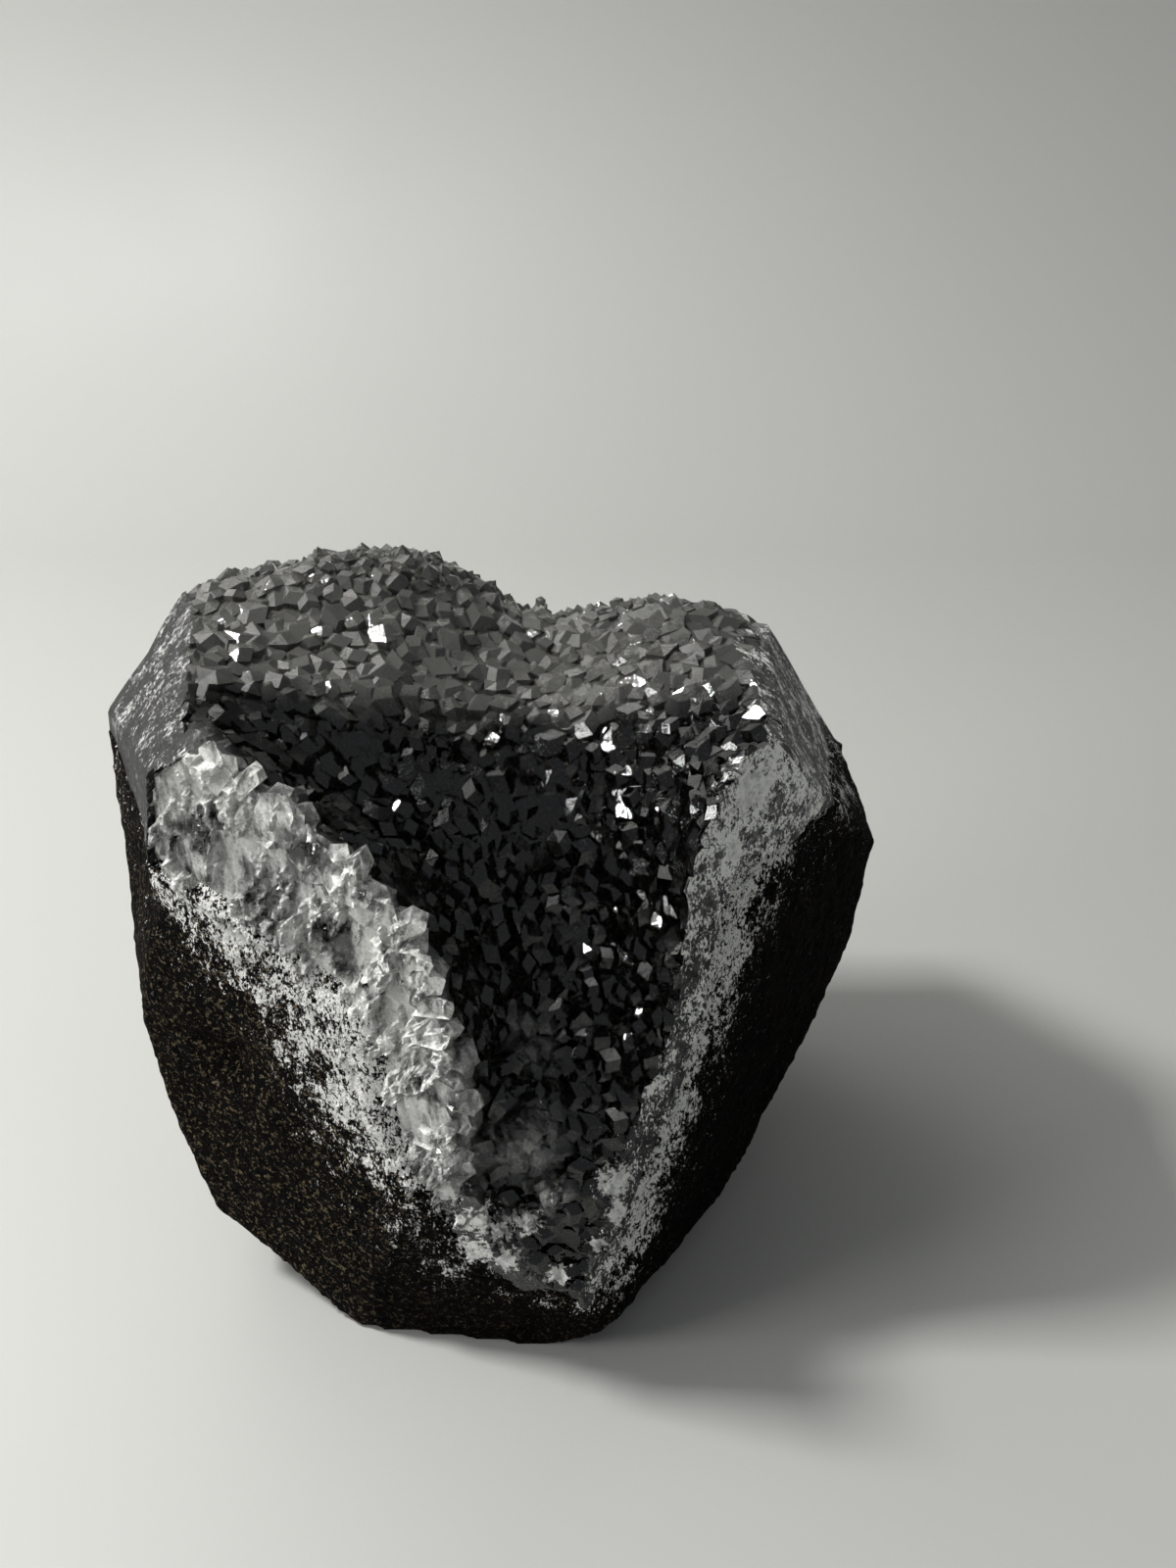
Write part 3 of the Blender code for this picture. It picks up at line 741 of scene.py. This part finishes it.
def basalt_finish(settings):
    """Dark volcanic stone with brown flecks, and white quartz specks near the crust."""
    finish = Finish("dark_basalt")
    near = finish.value("near_crust")
    patches = finish.noise(230.0, 3.0, 0.6)
    grain = finish.noise(1500.0, 4.0, 0.7)
    flecks = finish.noise(1700.0, 3.0, 0.8)
    dark = finish.mix(patches.step(0.35, 0.7), (*settings.stone_colour, 1.0), (0.0035, 0.0025, 0.0015, 1.0))
    brown = finish.value("brown")
    dark = finish.mix(flecks.step(0.55, 0.64) * brown * 0.9, dark, (0.14, 0.112, 0.066, 1.0))
    density = near * 1.1 + (patches - 0.5) * 2.4 * near.step(0.0, 0.3) - 0.18
    white = speckle(finish, density.most(0.0).least(0.85)) * near.step(0.0, 0.12, 0.12, 1.0)
    colour = finish.mix(white, dark, grey(0.8, WARM))
    shader = finish.shader(Base_Color=colour, Roughness=grain.step(0.3, 0.7, 0.7, 0.95),
                           Specular_IOR_Level=0.035,
                           Normal=finish.bump(grain + flecks * 0.7, 0.0009, 1.0))
    finish.surface(shader)
    return finish.material


def keep_value(thing, name, values, domain="POINT"):
    """Store one number for each vertex or face."""
    layer = thing.data.attributes.new(name, "FLOAT", domain)
    layer.data.foreach_set("value", [float(value) for value in values])


class ChalcedonySettings(bpy.types.PropertyGroup):
    """Sizes and colours of the specimen."""

    point_pitch: FloatProperty(name="Point pitch", description="Least distance between quartz points",
                               default=1.62 * MM, unit="LENGTH", precision=5)
    point_width: FloatProperty(name="Point width", description="Usual width of a quartz point",
                               default=2.95 * MM, unit="LENGTH", precision=5)
    point_lean: FloatProperty(name="Point lean", description="How far the points lean at random",
                              default=0.11)
    stone_detail: FloatProperty(name="Stone detail", description="Size of the facets of the stone",
                                default=0.65 * MM, unit="LENGTH", precision=5)
    stone_relief: FloatProperty(name="Stone relief", description="Depth of the stone's fine relief",
                                default=0.2 * MM, unit="LENGTH", precision=5)
    seat_overlap: FloatProperty(name="Seat overlap", description="How far the stone's seat meets the crust",
                                default=0.55 * MM, unit="LENGTH", precision=5)
    stone_colour: FloatVectorProperty(name="Stone", description="Colour of the basalt", subtype="COLOR",
                                      default=(0.0012, 0.0012, 0.0012), min=0.0, max=1.0)
    quartz_colour: FloatVectorProperty(name="Quartz", description="Tint of the clear quartz",
                                       subtype="COLOR", default=(0.80, 0.80, 0.77), min=0.0, max=1.0)
    quartz_ior: FloatProperty(name="Quartz IOR", description="Refractive index of quartz", default=1.544)
    smoke_colour: FloatVectorProperty(name="Smoke", description="Colour that the quartz lets through",
                                      subtype="COLOR", default=(0.44, 0.45, 0.45), min=0.0, max=1.0)
    smoke_density: FloatProperty(name="Smoke density", description="Strength of the smoky absorption",
                                 default=220.0)
    floor_colour: FloatVectorProperty(name="Floor", description="Colour of the floor and backdrop",
                                      subtype="COLOR", default=(0.365, 0.365, 0.348), min=0.0, max=1.0)


class CHALCEDONY_OT_stone(bpy.types.Operator):
    """Make the dark stone from the frame's own, with its seat against the crust"""

    bl_idname = "chalcedony.stone"
    bl_label = "Stone"

    def execute(self, context):
        settings = context.scene.chalcedony
        stone = copy_of(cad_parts[STONE_NODE], "rough_basalt")
        remesh = stone.modifiers.new("even", "REMESH")
        remesh.mode = "VOXEL"
        remesh.voxel_size = settings.stone_detail
        mesh = mesh_of(stone)
        stone.modifiers.clear()
        stone.data = mesh
        crust = tree_of(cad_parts[CRUST_NODE])
        gaps = []
        for vert in mesh.vertices:
            place, normal, _, gap = crust.find_nearest(vert.co)
            gaps.append(gap)
            share = 1.0 - rise_between(gap, 0.5 * MM, 0.95 * MM)
            vert.co += (place - normal * settings.seat_overlap - vert.co) * share
        mesh.update()
        rough = []
        for vert, gap in zip(mesh.vertices, gaps):
            share = rise_between(gap, 0.4 * MM, 1.0 * MM) * rise_between(vert.co.z, 0.0, 1.0 * MM)
            height = noise.fractal(vert.co / (1.6 * MM), 0.6, 2.1, 4)
            rough.append(vert.normal * height * share * settings.stone_relief)
        for vert, shift in zip(mesh.vertices, rough):
            vert.co += shift
        mesh.update()
        shares = shares_of_flats(mesh)
        specks = np.array([SPECKLED.get(name, OTHER_SPECKLED) for name in FLATS])
        brown = shares @ np.array([BROWNED.get(name, OTHER_BROWNED) for name in FLATS])
        near = []
        for row, vert, gap in zip(shares, mesh.vertices, gaps):
            outer = rise_between(outside_by(vert.co), -1.6 * MM, -0.8 * MM)
            set_in = np.clip((vert.co.z / MM - specks[:, 1]) / (specks[:, 2] - specks[:, 1]), 0.0, 1.0)
            share = max(0.0, 1.0 - gap / SPECK_REACH) * float(np.sum(row * specks[:, 0] * set_in))
            for spot in SPECK_SPOTS:
                share = max(share, SPOT_DENSITY * (1.0 - radii_from(vert.co, *spot)))
            near.append(outer * share)
        keep_value(stone, "brown", brown)
        keep_value(stone, "near_crust", near)
        mesh.materials.append(basalt_finish(settings))
        for face in mesh.polygons:
            face.use_smooth = True
        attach(stone, "root")
        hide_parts(STONE_NODE)
        print("stone", len(mesh.polygons), "faces")
        return {"FINISHED"}


class CHALCEDONY_OT_crust(bpy.types.Operator):
    """Grow the quartz crust: its sheet, its points and the broken columns of its flank"""

    bl_idname = "chalcedony.crust"
    bl_label = "Quartz crust"

    def execute(self, context):
        settings = context.scene.chalcedony
        face = CrystalFace(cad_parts[CRUST_NODE])
        rng = random.Random(SEED)
        cluster = Cluster()
        place, outward, _ = FLATS[BROKEN_FLAT]
        place, outward = Vector(place) * MM, Vector(outward).normalized()
        for point, normal in scatter(face, settings.point_pitch, rng, POINT_TRIES):
            if (point - place).dot(outward) > -CREST_STRIP and point.z > CREST_FOOT:
                continue
            on_shelf = rise_between(point.dot(ALONG), *SHELF_FROM)
            jagged = rise_between(point.dot(ALONG), *SKYLINE_FROM)
            lean = random_vector(rng)
            axis = (normal + lean * settings.point_lean * (1.0 + 0.5 * on_shelf)).normalized()
            wider = 1.0 + 0.2 * on_shelf - 0.45 * jagged
            radius = settings.point_width / 2 * rng.uniform(0.7, 1.35) * wider
            uneven = 0.26 - 0.08 * on_shelf + 0.14 * jagged
            centre = point + normal * (rng.gauss(0, uneven) * MM - 0.2 * radius)
            cluster.add(centre, axis, radius, 1.9 * MM, radius * rng.uniform(0.15, 0.5 + 0.5 * jagged),
                        rng.uniform(0, math.tau), rng.uniform(0.75, 1.0), 0.12 * radius)
        for point, normal in scatter(face, CREST_PITCH, rng, CREST_TRIES):
            if (point - place).dot(outward) < -CREST_DEPTH:
                continue
            lean = random_vector(rng) * 0.2
            radius = rng.uniform(1.1, 2.1) * MM
            centre = point + normal * (rng.uniform(-0.2, 1.9) * MM)
            cluster.add(centre, (normal + lean).normalized(), radius, 3.8 * MM,
                        radius * rng.uniform(0.5, 1.1), rng.uniform(0, math.tau),
                        rng.uniform(0.7, 1.0), 0.25 * radius)
        for centre, spread, count, least, greatest, lift in ROSETTES:
            middle = Vector(centre) * MM
            x, t = middle.x, middle.dot(ALONG)
            for _ in range(count):
                a, b = rng.gauss(0, spread / 2) * MM, rng.gauss(0, spread / 2) * MM
                point, normal = face.point(x + a, t + b)
                splay = (Vector((1, 0, 0)) * a + ALONG * b) / (spread * MM)
                radius = rng.uniform(least, greatest) * MM
                rise = lift * MM * max(0.0, 1.0 - (a * a + b * b) / (spread * MM) ** 2)
                cluster.add(point + normal * rise, (normal + splay * 0.9).normalized(), radius, 3.0 * MM,
                            radius * rng.uniform(0.4, 1.0), rng.uniform(0, math.tau), rng.uniform(0.7, 1.0),
                            0.2 * radius)
        points = cluster.join("points")
        combine(points, block_of_flats("flats"), "INTERSECT")
        crust = copy_of(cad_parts[CRUST_NODE], "quartz_druse")
        combine(crust, space_above(face, TOP_CUT), "DIFFERENCE")
        combine(crust, points, "UNION")
        drop_crumbs(crust, CRUMB_FACES)
        fine_flanks(crust, FLANK_EDGE, BROKEN_EDGE)
        mesh = crust.data
        break_flank(mesh)
        split, chalk, shelf, white = [], [], [], []
        for vert in mesh.vertices:
            inside = (place - vert.co).dot(outward)
            share = (1.0 - rise_between(inside, 0.0, 4.5 * MM)) * rise_between(vert.co.z, 24 * MM, 31 * MM)
            # Milky share on the rosettes: partly half-clear quartz, partly painted highlight
            for centre, radius, strength in CLOUDED_AND_HIGHLIGHT_SPOTS:
                gap = radii_from(vert.co, centre, radius)
                share = max(share, strength * min(1.0, max(0.0, 2.0 - 2.0 * gap)))
            split.append(share)
            chalk.append(max(max(0.0, 1.0 - radii_from(vert.co, *spot)) for spot in MILKY_SPOTS))
            # Shelf mask of haze and painted reflection: it sets in along the open side, halves towards the
            # skyline and weakens towards the right
            edge = SHELF_EDGE * MM + 2.0 * MM * noise.noise(Vector((vert.co.x / (6 * MM), 0.0, 0.0)))
            along = vert.co.dot(ALONG)
            shelf.append(rise_between(along, edge - 1.5 * MM, edge + 3.0 * MM)
                         * (1.0 - 0.5 * rise_between(along, 65.0 * MM, 70.0 * MM))
                         * (1.0 - 0.35 * rise_between(vert.co.x, 0.0, 15.0 * MM)))
            tone = 0.0
            for centre, radius, strength in WHITE_SPOTS:
                gap = radii_from(vert.co, centre, radius)
                tone += strength * max(0.0, 1.0 - gap * gap)
            white.append(tone)
        for name, values in (("split", split), ("chalk", chalk), ("shelf", shelf), ("white", white)):
            keep_value(crust, name, values)
        pale = [0.0] + [PALE.get(name, 0.6) for name in FLATS]
        marks = mesh.attributes["flat"].data
        ground = []
        for polygon in mesh.polygons:
            higher = rise_between(polygon.center.z, 48 * MM, 62 * MM)
            ground.append(pale[marks[polygon.index].value] * (0.5 + 0.5 * higher))
        keep_value(crust, "ground", ground, "FACE")
        mesh.materials.clear()
        mesh.materials.append(quartz_finish(settings))
        for polygon in mesh.polygons:
            polygon.use_smooth = False
            polygon.material_index = 0
        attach(crust, "root")
        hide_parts(CRUST_NODE)
        print("crust", len(mesh.polygons), "faces")
        return {"FINISHED"}


class CHALCEDONY_OT_stage(bpy.types.Operator):
    """Make the pale floor, its backdrop, the soft lights and the camera"""

    bl_idname = "chalcedony.stage"
    bl_label = "Stage"

    def execute(self, context):
        settings = context.scene.chalcedony
        scene = context.scene
        finish = Finish("pale_board")
        cloud = finish.noise(6.0, 3.0, 0.5)
        tone = finish.mix(cloud.step(0.3, 0.7), (*settings.floor_colour, 1.0),
                          tuple(0.97 * value for value in settings.floor_colour) + (1.0,))
        finish.surface(finish.shader(Base_Color=tone, Roughness=cloud.step(0.3, 0.7, 0.5, 0.6)))
        profile = [(FLOOR_FRONT, 0.0), (0.0, 0.0), (FLOOR_DEPTH - BEND, 0.0)]
        for k in range(1, BEND_STEPS + 1):
            angle = k / BEND_STEPS * math.pi / 2
            profile.append((FLOOR_DEPTH + BEND * math.sin(angle) - BEND, BEND - BEND * math.cos(angle)))
        profile.append((FLOOR_DEPTH, BACKDROP_TOP))
        corners = [(side, y, z) for y, z in profile for side in (-FLOOR_SIDE, FLOOR_SIDE)]
        faces = [(2 * k, 2 * k + 1, 2 * k + 3, 2 * k + 2) for k in range(len(profile) - 1)]
        mesh = bpy.data.meshes.new("floor")
        mesh.from_pydata(corners, [], faces)
        floor = link("floor", mesh)
        for face in mesh.polygons:
            face.use_smooth = True
        mesh.materials.append(finish.material)
        for light in LIGHTS:
            self.light(*light)
        world = bpy.data.worlds.new("room")
        world.use_nodes = True
        world.node_tree.nodes["Background"].inputs["Color"].default_value = ROOM_COLOUR
        world.node_tree.nodes["Background"].inputs["Strength"].default_value = ROOM_STRENGTH
        scene.world = world
        lens = bpy.data.cameras.new("camera")
        lens.lens = CAMERA_LENS
        lens.sensor_width = CAMERA_SENSOR
        lens.clip_start = CAMERA_CLIP
        camera = bpy.data.objects.new("camera", lens)
        camera.location = CAMERA_PLACE
        camera.rotation_euler = (math.radians(CAMERA_TILT), 0.0, 0.0)
        scene.collection.objects.link(camera)
        scene.camera = camera
        scene.view_settings.view_transform = "Standard"
        return {"FINISHED"}

    def light(self, name, place, aim, size, power, colour):
        """A soft rectangular light."""
        lamp = bpy.data.lights.new(name, "AREA")
        lamp.shape = "RECTANGLE"
        lamp.size, lamp.size_y = size
        lamp.energy = power
        lamp.color = colour
        thing = bpy.data.objects.new(name, lamp)
        thing.location = place
        direction = Vector(aim) - Vector(place)
        thing.rotation_euler = direction.to_track_quat("-Z", "Y").to_euler()
        thing.visible_camera = False
        bpy.context.scene.collection.objects.link(thing)


class CHALCEDONY_PT_panel(bpy.types.Panel):
    """The specimen's sizes and colours, and the steps that make it"""

    bl_idname = "CHALCEDONY_PT_panel"
    bl_label = "Rough chalcedony"
    bl_space_type = "VIEW_3D"
    bl_region_type = "UI"
    bl_category = "Chalcedony"

    def draw(self, context):
        settings = context.scene.chalcedony
        for name in ChalcedonySettings.__annotations__:
            self.layout.prop(settings, name)
        for step in STEPS:
            self.layout.operator(step.bl_idname)


STEPS = (CHALCEDONY_OT_stone, CHALCEDONY_OT_crust, CHALCEDONY_OT_stage)
CLASSES = (ChalcedonySettings, *STEPS, CHALCEDONY_PT_panel)


def register():
    """Register the settings, the steps and the panel."""
    for cls in CLASSES:
        bpy.utils.register_class(cls)
    bpy.types.Scene.chalcedony = PointerProperty(type=ChalcedonySettings)


def unregister():
    """Take the settings, the steps and the panel away."""
    del bpy.types.Scene.chalcedony
    for cls in reversed(CLASSES):
        bpy.utils.unregister_class(cls)


def main():
    """Make every piece and the stage."""
    register()
    bpy.ops.chalcedony.stone()
    bpy.ops.chalcedony.crust()
    bpy.ops.chalcedony.stage()


if __name__ == "__main__":
    main()
